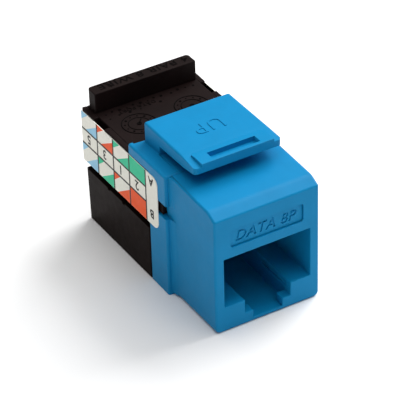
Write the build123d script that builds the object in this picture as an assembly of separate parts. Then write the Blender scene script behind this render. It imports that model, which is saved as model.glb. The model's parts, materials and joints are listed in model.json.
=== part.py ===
from build123d import *
import os

# A keystone network jack, in millimetres. It lies on its underside, with the snap latch on top.
# X runs to the right seen from the plug side, Y runs from the plug face to the rear, Z runs up.
# Depths (names with DEPTH, or pairs called *_Y) count from the plug face, and heights from the underside.
# place() moves the finished solids so that the origin is the centre of the underside.

# Whole jack
LENGTH = 30.2
BODY_HALF = 8.0            # half width over the flanges and the black block
UNDERSIDE = 0.0

# Front block, which fills a standard keystone opening
FRONT_HALF = 7.25
FRONT_DEPTH = 9.8
FACE_HEIGHT = 16.2
TOP_HEIGHT = 17.25
SHOULDER_POINT = (1.5, 16.93)
SHOULDER_ROUND = 2.0
EDGE_ROUND = 0.3
FOOT_ROUND = 0.7           # of the front block's long lower edges
GUIDE_HALF = 7.5           # guide ribs that ramp up to the flanges
GUIDE_Y = (8.7, FRONT_DEPTH)
GUIDE_TOP = 17.05
HOOK_GROOVE_X = (3.7, 6.5)  # grooves in the underside that hook over the panel
HOOK_GROOVE_Y = (8.0, 9.6)
HOOK_GROOVE_HEIGHT = 0.9

# Flanges and deck behind the front block
FLANGE_END = 13.9
DECK_END = 18.05
TAB_END = 18.65            # the deck's side tabs reach further back
TAB_INNER = 7.4
DECK_UNDERSIDE = 16.2
SKIRT_HALF = 7.3
SKIRT_BOTTOM = 15.9
NOTCH_Z = (11.1, 13.0)     # side notch that the snap hooks sit in
HOOK_RECESS_Y = (10.9, 12.0)
HOOK_RECESS_HALF = 6.95

# Plug socket: a wide mouth with two steps below it for the plug's clip
MOUTH_HALF = 6.0
MOUTH_Z = (3.55, 10.45)
SOCKET_DEPTH = 12.5
CLIP_HALF = 3.2
CLIP_BOTTOM = 1.65
CATCH_HALF = 2.05
CATCH_DEPTH = 1.45         # depth of the two ledges that the plug's clip catches on
CATCH_BOTTOM = 0.5
CLIP_WELL_BOTTOM = 0.3
CLIP_RIB_Y = (1.0, 6.5)    # fine ribs along both walls of the clip channel
CLIP_RIB_HEIGHTS = (2.4, 2.85)
CLIP_RIB_SIZE = 0.13

# Marking panel on the plug face
PANEL_HALF = 5.05
PANEL_Z = (11.85, 14.4)
PANEL_DEPTH = 0.37
PANEL_ROUND = 0.4

# Chamber above the socket for the contact carrier and the circuit board
CHAMBER_HALF = 6.75
CHAMBER_FRONT = 1.9
CHAMBER_Z = (10.9, 15.4)
WIRE_WELL_HALF = 4.65

# Keystone latch
LATCH_HALF = 6.0
LATCH_TOP = 19.95
LATCH_FRONT = 6.15
LATCH_LIP_TOP = 19.72
LATCH_LIP_BOTTOM = 18.92
LATCH_BEND_TOP = (9.6, LATCH_TOP)
LATCH_BEND_UNDER = (8.9, 18.52)
LATCH_UNDERSIDE = 18.38    # at the root
LATCH_RELIEF = 0.06        # the deck is this much lower under the arm
LATCH_RELIEF_FRONT = 8.3
LATCH_ROOT_Y = (14.45, DECK_END)
LATCH_GAP = 0.05           # cut between the fixed root and the flexing arm
LATCH_ROUND = 0.25
RIDGE_HALF = 5.0
RIDGE_Y = (LATCH_FRONT, 8.95)
RIDGE_TOP = 20.15
RIDGE_RAMP = (0.95, 0.15)  # run and rise of the ramp behind the ridge
RIDGE_SLOT_HALF = 3.3
RIDGE_SLOT_Y = (6.65, 7.95)
RIDGE_SLOT_BOTTOM = 19.5

# Contact wires
WIRES = 8
WIRE_PITCH = 1.02
WIRE_RADIUS = 0.23
WIRE_HINGE = (2.33, 11.32)  # depth and height of the flexing point
WIRE_ELBOW = (2.33, 10.85)
WIRE_LOW = (10.3, 8.12)
WIRE_TIP = (11.7, 9.0)
WIRE_ELBOW_ROUND = 0.5
WIRE_LOW_ROUND = 0.8
WIRE_GAP = 0.08
WIRE_RUN_HEIGHT = 11.97
WIRE_LEG_DEPTHS = (5.0, 6.6)
WIRE_LEG_TOP = 13.9
ROOT_ROUND = 0.35          # bends of the fixed wire starts

# Contact carrier, a comb under the circuit board
CARRIER_HALF = 6.65
CARRIER_Y = (2.75, 13.4)
CARRIER_Z = (11.08, 11.7)
RAIL_X = (4.75, 6.65)      # side rails that lift the board off the wires
COMB_Y = (10.9, 12.4)
COMB_BOTTOM = 7.5
COMB_RIB = 0.36
COMB_BACK = 0.15
RAIL_LEAD = 0.2            # the side rails reach this far in front of the board

# Circuit board
BOARD_HALF = 6.4
BOARD_Y = (3.6, 29.0)
BOARD_Z = (12.22, 13.42)
LEG_HOLE_RADIUS = 0.3

# Insulation-displacement terminals, four a side
COLUMN_PITCH = 3.6
FIRST_COLUMN = 16.4
COLUMNS = 4
TERMINAL_X = (4.75, 5.15)
TERMINAL_WIDTH = 1.8
TERMINAL_Z = (2.3, 12.2)
TERMINAL_SLOT = 0.32
TERMINAL_SLOT_TOP = 7.2
TERMINAL_MOUTH = 0.9
TERMINAL_LEG = 0.5
TERMINAL_LEG_TOP = 13.9
TERMINAL_SEAT = 0.02       # gap between the terminal's shoulders and the board
TERMINAL_TIP = 0.75        # width of the tips, as a share of the terminal's width

# Black terminal block and the two rows of towers under it
BLOCK_Y = (13.95, LENGTH)
BLOCK_WALL = 0.75
BLOCK_FLOOR_Z = (8.5, 9.7)
BLOCK_WALL_TOP = 16.15
BLOCK_FRONT_WALL_TOP = 10.8
BLOCK_REAR_WALL = 0.8
LEDGE_TOP = 15.0
LEDGE_HEIGHT = 0.8
LEDGE_WIDTH = 0.4
SIDE_NOTCH_Y = (24.4, 27.1)
SIDE_NOTCH_BOTTOM = 14.6
TOWER_X = (3.6, 6.3)
TOWER_BOTTOM = 1.5
TOWER_HALF = 1.55
TOWER_SLOT_HALF = 0.45
TOWER_POINT = 0.5
GROOVE_SLACK = 0.06
ROW_BASE_X = (3.6, 7.2)
ROW_BASE_Z = (7.7, 8.5)
ROW_Y = (14.8, 28.8)
CAP_RAIL_X = (6.6, 7.2)    # rail that the termination cap slides over
CAP_RAIL_BOTTOM = 6.3
HOOK_ARM_X = (7.3, 7.75)
HOOK_ARM_Y = (11.0, 14.2)
HOOK_BARB_Y = (11.0, 11.8)
HOOK_BARB_X = (7.0, 7.75)
HOOK_SLACK = 0.1
DECK_SLACK = 0.05          # gap under the blue deck's side tabs

# Top cover of the black block, with its raised rear wall
COVER_HALF = 7.25
COVER_Z = (15.0, 16.15)
COVER_Y = (14.0, LENGTH)
REAR_WALL_HALF = 7.2
REAR_WALL_Y = (27.95, 29.9)
REAR_WALL_TOP = 18.95
REAR_WALL_ROUNDS = (0.12, 0.5)  # of its front and rear corners

# Termination cap over the terminals
CAP_Y = (14.0, 29.75)
CAP_REAR_FOOT = 29.45      # the rear wall leans in towards its foot
CAP_INNER_REAR = 28.9
CAP_TOP = 7.5
CAP_WALL = 0.7
CAP_ROUND = 0.25
CAP_BOTTOM_ROUND = 0.15
CAP_NICKS = (20.45, 24.1)  # depths of small nicks in the top edge of both side walls
CAP_NICK = 0.5
CABLE_HALF = 2.7
CABLE_BOTTOM = 1.2

# Wiring labels
LABEL_THICK = 0.1
LABEL_Y = (11.65, LENGTH)
LABEL_Z = (8.56, 15.85)
LABEL_FRONT_ROUND = 1.0
LABEL_REAR_ROUND = 0.25


def block(x, y, z):
    """A box from its low and high value along each axis."""
    spans = (x, y, z)
    size = [high - low for low, high in spans]
    centre = [(low + high) / 2 for low, high in spans]
    return Pos(*centre) * Box(*size)


def centred(half, y, z):
    """A box that is centred across the jack."""
    return block((-half, half), y, z)


def sides(x, y, z):
    """The same box on the right and on the left."""
    return block(x, y, z) + block((-x[1], -x[0]), y, z)


def side_extrusion(half, lines):
    """A solid whose outline, drawn as depth and height, runs across the jack."""
    return extrude(Plane.YZ * make_face(lines), half, both=True)


def place(shape):
    """Moves a solid from the plug face to the centre of the jack."""
    return Pos(0, -LENGTH / 2, 0) * shape


def wire_positions():
    return [(index - (WIRES - 1) / 2) * WIRE_PITCH for index in range(WIRES)]


def column_depths():
    return [FIRST_COLUMN + index * COLUMN_PITCH for index in range(COLUMNS)]


def front_block():
    """The block round the plug socket: a steep shoulder, then a top that rises slightly to the deck."""
    outline = Polyline(
        (FRONT_DEPTH, TOP_HEIGHT),
        (FRONT_DEPTH, UNDERSIDE),
        (0, UNDERSIDE),
        (0, FACE_HEIGHT),
        SHOULDER_POINT,
        close=True,
    )
    profile = make_face(outline)
    profile = fillet(profile.vertices().sort_by_distance((*SHOULDER_POINT, 0))[0], SHOULDER_ROUND)
    solid = extrude(Plane.YZ * profile, FRONT_HALF, both=True)
    solid = fillet(solid.edges().filter_by(Axis.Y).group_by(Axis.Z)[0], FOOT_ROUND)
    rear_edges = solid.edges().group_by(Axis.Y)[-1]
    sides_and_face = (solid.edges() - rear_edges).filter_by(is_outer_edge)
    return fillet(sides_and_face, EDGE_ROUND)


def is_outer_edge(edge):
    """True for the edges round the plug face and along both sides of the front block."""
    centre = edge.center()
    return centre.Y < EDGE_ROUND / 2 or abs(centre.X) > FRONT_HALF - EDGE_ROUND / 2


def flange_and_deck():
    flange = centred(BODY_HALF, (FRONT_DEPTH, FLANGE_END), (UNDERSIDE, TOP_HEIGHT))
    deck = centred(BODY_HALF, (FLANGE_END, TAB_END), (SKIRT_BOTTOM, TOP_HEIGHT))
    deck -= centred(SKIRT_HALF, (FLANGE_END, TAB_END), (SKIRT_BOTTOM, DECK_UNDERSIDE))
    deck -= centred(TAB_INNER, (DECK_END, TAB_END), (DECK_UNDERSIDE, TOP_HEIGHT))
    body = flange + deck
    corners = body.edges().filter_by(Axis.Z).group_by(SortBy.LENGTH)[-1]
    rear_corners = body.edges().filter_by(Axis.Z).group_by(Axis.Y)[-1]
    body = fillet(corners + rear_corners.filter_by(is_outside_tabs), EDGE_ROUND)
    long_top = body.edges().filter_by(Axis.Y).group_by(Axis.Z)[-1]
    return fillet(long_top.filter_by(is_outside_tabs), EDGE_ROUND)


def is_outside_tabs(edge):
    """True for the edges along the outside of the flanges and the deck's side tabs."""
    return abs(edge.center().X) > TAB_INNER + EDGE_ROUND / 2


def guide_ribs():
    """Ramps in front of the flanges, above and below the snap hooks' notch."""
    inner = FRONT_HALF - EDGE_ROUND
    ribs = Part()
    for low, high in ((UNDERSIDE + EDGE_ROUND, NOTCH_Z[0]), (NOTCH_Z[1], GUIDE_TOP)):
        for side in (-1, 1):
            plan = [(inner, GUIDE_Y[0]), (FRONT_HALF, GUIDE_Y[0]), (GUIDE_HALF, GUIDE_Y[1]), (inner, GUIDE_Y[1])]
            outline = Polyline(*[(side * x, y) for x, y in plan], close=True)
            ribs += extrude(Plane.XY.offset(low) * make_face(outline), high - low)
    return ribs


def plug_socket():
    mouth = centred(MOUTH_HALF, (0, SOCKET_DEPTH), MOUTH_Z)
    clip = centred(CLIP_HALF, (0, SOCKET_DEPTH), (CLIP_BOTTOM, MOUTH_Z[0]))
    catch = centred(CATCH_HALF, (0, CATCH_DEPTH), (CATCH_BOTTOM, CLIP_BOTTOM))
    well = centred(CLIP_HALF, (CATCH_DEPTH, SOCKET_DEPTH), (CLIP_WELL_BOTTOM, CLIP_BOTTOM))
    socket = mouth + clip + catch + well
    for height in CLIP_RIB_HEIGHTS:
        rib_x = (CLIP_HALF - CLIP_RIB_SIZE, CLIP_HALF)
        socket -= sides(rib_x, CLIP_RIB_Y, (height, height + CLIP_RIB_SIZE))
    return socket


def marking_panel():
    height = PANEL_Z[1] - PANEL_Z[0]
    sketch = RectangleRounded(2 * PANEL_HALF, height, PANEL_ROUND)
    plane = Plane(origin=(0, 0, sum(PANEL_Z) / 2), x_dir=(1, 0, 0), z_dir=(0, 1, 0))
    return extrude(plane * sketch, PANEL_DEPTH)


def front_housing():
    """The blue moulding: plug socket, flanges, deck and the fixed root of the latch."""
    root = centred(LATCH_HALF, LATCH_ROOT_Y, (TOP_HEIGHT - EDGE_ROUND, LATCH_TOP))
    rear_top = root.edges().group_by(Axis.Y)[-1] - root.edges().group_by(Axis.Z)[0]
    root = fillet(root.edges().filter_by(Axis.Y).group_by(Axis.Z)[-1] + rear_top, LATCH_ROUND)
    housing = front_block() + flange_and_deck() + guide_ribs() + root
    housing -= plug_socket()
    housing -= marking_panel()
    housing -= centred(CHAMBER_HALF, (CHAMBER_FRONT, FLANGE_END), CHAMBER_Z)
    housing -= centred(WIRE_WELL_HALF, (CHAMBER_FRONT, SOCKET_DEPTH), (MOUTH_Z[1], CHAMBER_Z[0]))
    housing -= sides((FRONT_HALF, BODY_HALF), (FRONT_DEPTH, FLANGE_END), NOTCH_Z)
    housing -= sides((HOOK_RECESS_HALF, FRONT_HALF), HOOK_RECESS_Y, NOTCH_Z)
    housing -= sides(HOOK_GROOVE_X, HOOK_GROOVE_Y, (UNDERSIDE, HOOK_GROOVE_HEIGHT))
    relief_y = (LATCH_RELIEF_FRONT, LATCH_ROOT_Y[0])
    housing -= centred(LATCH_HALF, relief_y, (TOP_HEIGHT - LATCH_RELIEF, TOP_HEIGHT))
    return housing


def keystone_latch():
    """The arm that snaps behind the panel: lip at the front, grip ridge with a slot on top."""
    arm_rear = LATCH_ROOT_Y[0] - LATCH_GAP
    outline = Polyline(
        (arm_rear, LATCH_TOP),
        LATCH_BEND_TOP,
        (LATCH_FRONT, LATCH_LIP_TOP),
        (LATCH_FRONT, LATCH_LIP_BOTTOM),
        LATCH_BEND_UNDER,
        (arm_rear, LATCH_UNDERSIDE),
        close=True,
    )
    arm = side_extrusion(LATCH_HALF, outline)
    front_edges = arm.edges().group_by(Axis.Y)[0].filter_by(Axis.Z)
    arm = fillet(front_edges, 2 * LATCH_ROUND)
    front, rear = RIDGE_Y
    run, rise = RIDGE_RAMP
    ridge_outline = Polyline(
        (front, LATCH_LIP_TOP - LATCH_ROUND),
        (front, RIDGE_TOP),
        (rear - run, RIDGE_TOP),
        (rear, RIDGE_TOP - rise),
        (rear, LATCH_LIP_TOP - LATCH_ROUND),
        close=True,
    )
    ridge = side_extrusion(RIDGE_HALF, ridge_outline)
    ridge = fillet(ridge.edges().group_by(Axis.Y)[-1].filter_by(Axis.Z), 2 * LATCH_ROUND)
    slot = centred(RIDGE_SLOT_HALF, RIDGE_SLOT_Y, (RIDGE_SLOT_BOTTOM, RIDGE_TOP))
    return arm + ridge - slot


def round_wire(route, start, direction):
    """A round wire swept along a route in one depth-height plane."""
    section = Plane(origin=start, z_dir=direction) * Circle(WIRE_RADIUS)
    return sweep(section, path=route)


def on_wire_plane(x, point):
    """A depth-height pair as a point in space, at one wire's place across the jack."""
    return (x, point[0], point[1])


def contact_wire(x):
    """One spring contact, from its flexing point to its free tip in the comb."""
    points = [on_wire_plane(x, point) for point in (WIRE_HINGE, WIRE_ELBOW, WIRE_LOW, WIRE_TIP)]
    route = FilletPolyline(*points, radius=[WIRE_ELBOW_ROUND, WIRE_LOW_ROUND])
    return round_wire(route, points[0], (0, 0, -1))


def contact_root(x, leg_depth):
    """The fixed start of a contact: a leg in the board, a run forward and a bend down."""
    end = (WIRE_HINGE[0], WIRE_HINGE[1] + WIRE_GAP)
    corner = (WIRE_HINGE[0], WIRE_RUN_HEIGHT)
    foot = (leg_depth, WIRE_RUN_HEIGHT)
    top = (leg_depth, WIRE_LEG_TOP)
    points = [on_wire_plane(x, point) for point in (top, foot, corner, end)]
    route = FilletPolyline(*points, radius=ROOT_ROUND)
    return round_wire(route, points[0], (0, 0, -1))


def leg_depth(index):
    return WIRE_LEG_DEPTHS[index % 2]


def contact_wire_roots():
    """The eight fixed wire starts, which share one piece of the assembly."""
    return Part() + [contact_root(x, leg_depth(index)) for index, x in enumerate(wire_positions())]


def contact_carrier():
    """The comb that guides the wires and carries the front of the board."""
    carrier = centred(CARRIER_HALF, CARRIER_Y, CARRIER_Z)
    rail_front = BOARD_Y[0] - RAIL_LEAD
    carrier += sides(RAIL_X, (rail_front, CARRIER_Y[1]), (CARRIER_Z[1], BOARD_Z[0]))
    for index in range(WIRES + 1):
        x = (index - WIRES / 2) * WIRE_PITCH
        carrier += block((x - COMB_RIB / 2, x + COMB_RIB / 2), COMB_Y, (COMB_BOTTOM, CARRIER_Z[0]))
    back = (COMB_Y[1] - COMB_BACK, COMB_Y[1])
    comb_half = (WIRES / 2) * WIRE_PITCH
    return carrier + centred(comb_half, back, (COMB_BOTTOM, CARRIER_Z[0]))


def circuit_board():
    board = centred(BOARD_HALF, BOARD_Y, BOARD_Z)
    thickness = BOARD_Z[1] - BOARD_Z[0]
    middle = sum(BOARD_Z) / 2
    spots = [(x, leg_depth(index)) for index, x in enumerate(wire_positions())]
    terminal_x = sum(TERMINAL_X) / 2
    spots += [(side * terminal_x, depth) for side in (-1, 1) for depth in column_depths()]
    for x, depth in spots:
        radius = LEG_HOLE_RADIUS if abs(x) < terminal_x else TERMINAL_LEG
        board -= Pos(x, depth, middle) * Cylinder(radius, thickness)
    return board


def idc_terminal(side, depth):
    """A stamped fork that cuts through a wire's insulation, with a leg in the board."""
    x = on_side(side, TERMINAL_X)
    half = TERMINAL_WIDTH / 2
    low, high = TERMINAL_Z
    mouth_height = low + TERMINAL_MOUTH
    slot = TERMINAL_SLOT / 2
    leg = TERMINAL_LEG / 2
    shoulder = high - TERMINAL_SEAT
    half_outline = [
        (leg, TERMINAL_LEG_TOP),
        (leg, shoulder),
        (half, shoulder),
        (half, low + TERMINAL_MOUTH / 2),
        (half * TERMINAL_TIP, low),
        (slot, mouth_height),
        (slot, TERMINAL_SLOT_TOP),
    ]
    outline = [(depth + across, z) for across, z in half_outline]
    outline += [(depth - across, z) for across, z in reversed(half_outline)]
    face = Plane.YZ.offset(x[0]) * make_face(Polyline(*outline, close=True))
    return extrude(face, x[1] - x[0])


def on_side(side, x):
    """A span across the jack, kept for the right side or mirrored for the left."""
    return x if side > 0 else (-x[1], -x[0])


def terminal_groove(side, depth, heights):
    """The slot that one terminal stands in."""
    x = (TERMINAL_X[0] - GROOVE_SLACK, TERMINAL_X[1] + GROOVE_SLACK)
    half = TERMINAL_WIDTH / 2 + GROOVE_SLACK
    return block(on_side(side, x), (depth - half, depth + half), heights)


def tower(side, depth):
    """Two pointed posts with a wire slot between them."""
    result = Part()
    for way in (-1, 1):
        edges = sorted((depth + way * TOWER_SLOT_HALF, depth + way * TOWER_HALF))
        post = block(on_side(side, TOWER_X), edges, (TOWER_BOTTOM, ROW_BASE_Z[0]))
        tip = post.edges().group_by(Axis.Z)[0].filter_by(Axis.Y)
        result += chamfer(tip, TOWER_POINT)
    return result


def terminal_row(side):
    """One row of towers on its base bar, with the rail that guides the cap."""
    row = block(on_side(side, ROW_BASE_X), ROW_Y, ROW_BASE_Z)
    row += block(on_side(side, CAP_RAIL_X), ROW_Y, (CAP_RAIL_BOTTOM, ROW_BASE_Z[0]))
    for depth in column_depths():
        row += tower(side, depth)
    for depth in column_depths():
        row -= terminal_groove(side, depth, (UNDERSIDE, ROW_BASE_Z[1]))
    return row


def block_shell():
    """Floor and four walls of the terminal block; the front wall leaves room for the board."""
    inner_half = BODY_HALF - BLOCK_WALL
    floor = centred(BODY_HALF, BLOCK_Y, BLOCK_FLOOR_Z)
    walls = sides((inner_half, BODY_HALF), BLOCK_Y, (BLOCK_FLOOR_Z[0], BLOCK_WALL_TOP))
    rear = centred(inner_half, (LENGTH - BLOCK_REAR_WALL, LENGTH), (BLOCK_FLOOR_Z[0], LEDGE_TOP))
    front_y = (BLOCK_Y[0], BLOCK_Y[0] + BLOCK_WALL)
    front = centred(BODY_HALF, front_y, (BLOCK_FLOOR_Z[0], BLOCK_FRONT_WALL_TOP))
    shell = floor + walls + rear + front
    rear_corners = shell.edges().filter_by(Axis.Z).group_by(Axis.Y)[-1]
    outer = rear_corners.filter_by(lambda edge: abs(edge.center().X) > SKIRT_HALF)
    return fillet(outer, EDGE_ROUND)


def cover_ledges():
    x = (BODY_HALF - BLOCK_WALL - LEDGE_WIDTH, BODY_HALF - BLOCK_WALL)
    return sides(x, (DECK_END, LENGTH - BLOCK_REAR_WALL), (LEDGE_TOP - LEDGE_HEIGHT, LEDGE_TOP))


def snap_hooks():
    heights = (NOTCH_Z[0] + HOOK_SLACK, NOTCH_Z[1] - HOOK_SLACK)
    return sides(HOOK_ARM_X, HOOK_ARM_Y, heights) + sides(HOOK_BARB_X, HOOK_BARB_Y, heights)


def wall_cuts():
    """What the side walls lose: height under the blue deck, and a finger notch near the rear."""
    x = (BODY_HALF - BLOCK_WALL, BODY_HALF)
    under_deck = sides(x, (FLANGE_END, TAB_END + HOOK_SLACK), (SKIRT_BOTTOM - DECK_SLACK, BLOCK_WALL_TOP))
    notch = sides(x, SIDE_NOTCH_Y, (SIDE_NOTCH_BOTTOM, BLOCK_WALL_TOP))
    return under_deck + notch


def idc_block():
    """The black terminal block: shell, ledges for the cover and front snap hooks."""
    block_solid = block_shell() + cover_ledges() + snap_hooks() - wall_cuts()
    for side in (-1, 1):
        for depth in column_depths():
            block_solid -= terminal_groove(side, depth, BLOCK_FLOOR_Z)
    return block_solid


def rear_cover():
    """The top plate of the black block, with the raised wall at its rear."""
    plate = centred(COVER_HALF, COVER_Y, COVER_Z)
    wall = centred(REAR_WALL_HALF, REAR_WALL_Y, (COVER_Z[0], REAR_WALL_TOP))
    for corners, radius in zip((0, -1), REAR_WALL_ROUNDS):
        wall = fillet(wall.edges().filter_by(Axis.Z).group_by(Axis.Y)[corners], radius)
    wall = fillet(wall.edges().group_by(Axis.Z)[-1], REAR_WALL_ROUNDS[0])
    return plate + wall


def termination_cap():
    """The removable lid over the terminals, open towards them, with a cable exit at the rear."""
    outline = Polyline(
        (CAP_Y[0], UNDERSIDE),
        (CAP_REAR_FOOT, UNDERSIDE),
        (CAP_Y[1], CAP_TOP),
        (CAP_Y[0], CAP_TOP),
        close=True,
    )
    cap = side_extrusion(BODY_HALF, outline)
    across = cap.edges().filter_by(Axis.X) + cap.edges().filter_by(Axis.Y)
    cap = fillet(cap.edges() - across, CAP_ROUND)
    cap = fillet(cap.edges().group_by(Axis.Z)[0], CAP_BOTTOM_ROUND)
    inner_y = (CAP_Y[0] + CAP_WALL, CAP_INNER_REAR)
    cap -= centred(BODY_HALF - CAP_WALL, inner_y, (UNDERSIDE + CAP_WALL, CAP_TOP))
    for depth in CAP_NICKS:
        nick_y = (depth - CAP_NICK / 2, depth + CAP_NICK / 2)
        cap -= sides((BODY_HALF - CAP_WALL, BODY_HALF), nick_y, (CAP_TOP - CAP_NICK / 2, CAP_TOP))
    return cap - centred(CABLE_HALF, (CAP_INNER_REAR, CAP_Y[1]), (CABLE_BOTTOM, CAP_TOP))


def wiring_label(side):
    """A printed sticker over the side wall of the block and the flange in front of it."""
    width = LABEL_Y[1] - LABEL_Y[0]
    height = LABEL_Z[1] - LABEL_Z[0]
    plane = Plane.YZ.offset(BODY_HALF if side > 0 else -BODY_HALF - LABEL_THICK)
    sketch = Pos(sum(LABEL_Y) / 2, sum(LABEL_Z) / 2) * Rectangle(width, height)
    corners = sketch.vertices().group_by(Axis.X)
    sketch = fillet(corners[0], LABEL_FRONT_ROUND)
    corners = sketch.vertices().group_by(Axis.X)
    sketch = fillet(corners[-1], LABEL_REAR_ROUND)
    return extrude(plane * sketch, LABEL_THICK)


def all_parts():
    parts = {
        "front_housing": front_housing(),
        "keystone_latch": keystone_latch(),
        "contact_wire_roots": contact_wire_roots(),
        "contact_carrier": contact_carrier(),
        "circuit_board": circuit_board(),
        "idc_block": idc_block(),
        "terminal_row_left": terminal_row(-1),
        "terminal_row_right": terminal_row(1),
        "rear_cover": rear_cover(),
        "termination_cap": termination_cap(),
        "wiring_label_left": wiring_label(-1),
        "wiring_label_right": wiring_label(1),
    }
    for index, x in enumerate(wire_positions()):
        parts[f"contact_wire_{index + 1}"] = contact_wire(x)
    sites = [(side, depth) for side in (-1, 1) for depth in column_depths()]
    for index, (side, depth) in enumerate(sites):
        parts[f"idc_terminal_{index + 1}"] = idc_terminal(side, depth)
    return parts


os.makedirs("parts", exist_ok=True)
for name, shape in all_parts().items():
    export_step(place(shape), f"parts/{name}.step")
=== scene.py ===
"""Looks of a keystone network jack: moulded shells, printed labels, contacts, board and studio."""

import json
import logging
import math
from contextlib import contextmanager
from dataclasses import dataclass
from enum import Enum
from typing import Callable, Iterable, Iterator

import bpy
import bmesh
from mathutils import Matrix, Vector

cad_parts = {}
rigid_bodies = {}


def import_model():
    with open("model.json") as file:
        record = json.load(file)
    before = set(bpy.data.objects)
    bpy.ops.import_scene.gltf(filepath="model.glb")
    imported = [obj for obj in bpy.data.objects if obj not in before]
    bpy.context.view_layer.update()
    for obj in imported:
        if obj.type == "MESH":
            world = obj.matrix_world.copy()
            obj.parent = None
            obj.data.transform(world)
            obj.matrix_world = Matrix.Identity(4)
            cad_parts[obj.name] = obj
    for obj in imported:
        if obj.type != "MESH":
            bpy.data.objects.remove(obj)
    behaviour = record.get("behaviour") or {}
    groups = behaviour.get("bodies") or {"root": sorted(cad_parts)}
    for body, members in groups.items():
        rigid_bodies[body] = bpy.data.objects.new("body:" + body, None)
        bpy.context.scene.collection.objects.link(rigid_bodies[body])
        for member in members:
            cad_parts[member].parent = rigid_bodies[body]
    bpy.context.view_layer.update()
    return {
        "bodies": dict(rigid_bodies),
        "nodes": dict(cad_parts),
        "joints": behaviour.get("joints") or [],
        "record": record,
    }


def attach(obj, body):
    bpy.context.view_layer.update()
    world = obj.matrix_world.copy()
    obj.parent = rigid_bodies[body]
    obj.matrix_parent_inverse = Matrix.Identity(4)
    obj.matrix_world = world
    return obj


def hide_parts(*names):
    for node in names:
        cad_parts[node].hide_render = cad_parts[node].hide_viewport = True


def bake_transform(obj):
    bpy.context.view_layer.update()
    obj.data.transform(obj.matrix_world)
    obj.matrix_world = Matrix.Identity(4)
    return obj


MM = 0.001
FACE_TO_MIDDLE = 15.1  # millimetres from the plug face back to the jack's middle, which is the origin
CAPITAL_SHARE = 0.7  # height of a capital as a share of the font's size
MERGE_GAP = 0.002 * MM
FLAT_ANGLE = math.radians(0.6)
FAR = 99.0  # further than any part of the jack, in millimetres
LOG = logging.getLogger("jack")
Span = tuple[float, float]
Point = tuple[float, float, float]
Colour = tuple[float, float, float]
Outline = list[tuple[float, float]]


# ---------------------------------------------------------------- finishes


class Nodes:
    """A small helper that adds and links shader nodes in one material."""

    def __init__(self, name: str) -> None:
        """Starts an empty node tree with a Principled shader.

        Args:
            name: the material's name.
        """
        self.material = bpy.data.materials.new(name)
        self.material.use_nodes = True
        self.tree = self.material.node_tree
        self.shader = self.tree.nodes["Principled BSDF"]
        self.place = self.add("ShaderNodeTexCoord").outputs["Object"]

    def add(self, kind: str, **inputs: object) -> bpy.types.Node:
        """Adds a node and sets its input values.

        Args:
            kind: the node's type name.
            **inputs: values by input name, with underscores for spaces.

        Returns:
            The new node.
        """
        node = self.tree.nodes.new(kind)
        for key, value in inputs.items():
            node.inputs[key.replace("_", " ")].default_value = value
        return node

    def link(self, source: bpy.types.NodeSocket, target: bpy.types.NodeSocket) -> None:
        """Links two sockets."""
        self.tree.links.new(source, target)

    def noise(self, scale: float, detail: float = 4.0, roughness: float = 0.6) -> bpy.types.NodeSocket:
        """Adds a noise pattern on Object coordinates.

        Args:
            scale: cells per metre.
            detail: octaves.
            roughness: weight of the fine octaves.

        Returns:
            The pattern's value socket.
        """
        node = self.add("ShaderNodeTexNoise", Scale=scale, Detail=detail, Roughness=roughness)
        self.link(self.place, node.inputs["Vector"])
        return node.outputs["Fac"]

    def ramp(self, value: bpy.types.NodeSocket, low: Colour, high: Colour,
             start: float = 0.0, end: float = 1.0) -> bpy.types.NodeSocket:
        """Maps a value to a colour between two stops.

        Args:
            value: the value to map.
            low: the colour at the first stop.
            high: the colour at the last stop.
            start: place of the first stop.
            end: place of the last stop.

        Returns:
            The colour socket.
        """
        node = self.add("ShaderNodeValToRGB")
        first, last = node.color_ramp.elements
        first.position, first.color = start, (*low, 1.0)
        last.position, last.color = end, (*high, 1.0)
        self.link(value, node.inputs["Fac"])
        return node.outputs["Color"]

    def remap(self, value: bpy.types.NodeSocket, low: float, high: float,
              start: float = 0.3, end: float = 0.7) -> bpy.types.NodeSocket:
        """Maps a value from one range to another.

        Args:
            value: the value to map.
            low: the result at the range's start.
            high: the result at the range's end.
            start: the range's start.
            end: the range's end.

        Returns:
            The mapped value's socket.
        """
        node = self.add("ShaderNodeMapRange")
        node.inputs["From Min"].default_value = start
        node.inputs["From Max"].default_value = end
        node.inputs["To Min"].default_value = low
        node.inputs["To Max"].default_value = high
        self.link(value, node.inputs["Value"])
        return node.outputs["Result"]

    def bump(self, height: bpy.types.NodeSocket, depth: float, strength: float = 1.0,
             below: bpy.types.NodeSocket | None = None) -> bpy.types.NodeSocket:
        """Adds a bump of a given depth, on top of an earlier one if there is one.

        Args:
            height: the height pattern.
            depth: the pattern's depth in metres.
            strength: how much of it shows.
            below: the normal of an earlier bump.

        Returns:
            The normal socket.
        """
        node = self.add("ShaderNodeBump", Strength=strength, Distance=depth)
        self.link(height, node.inputs["Height"])
        if below is not None:
            self.link(below, node.inputs["Normal"])
        return node.outputs["Normal"]

    def set(self, **values: object) -> None:
        """Sets constant values on the Principled shader's own sockets."""
        for key, value in values.items():
            self.shader.inputs[key.replace("_", " ")].default_value = value


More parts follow.
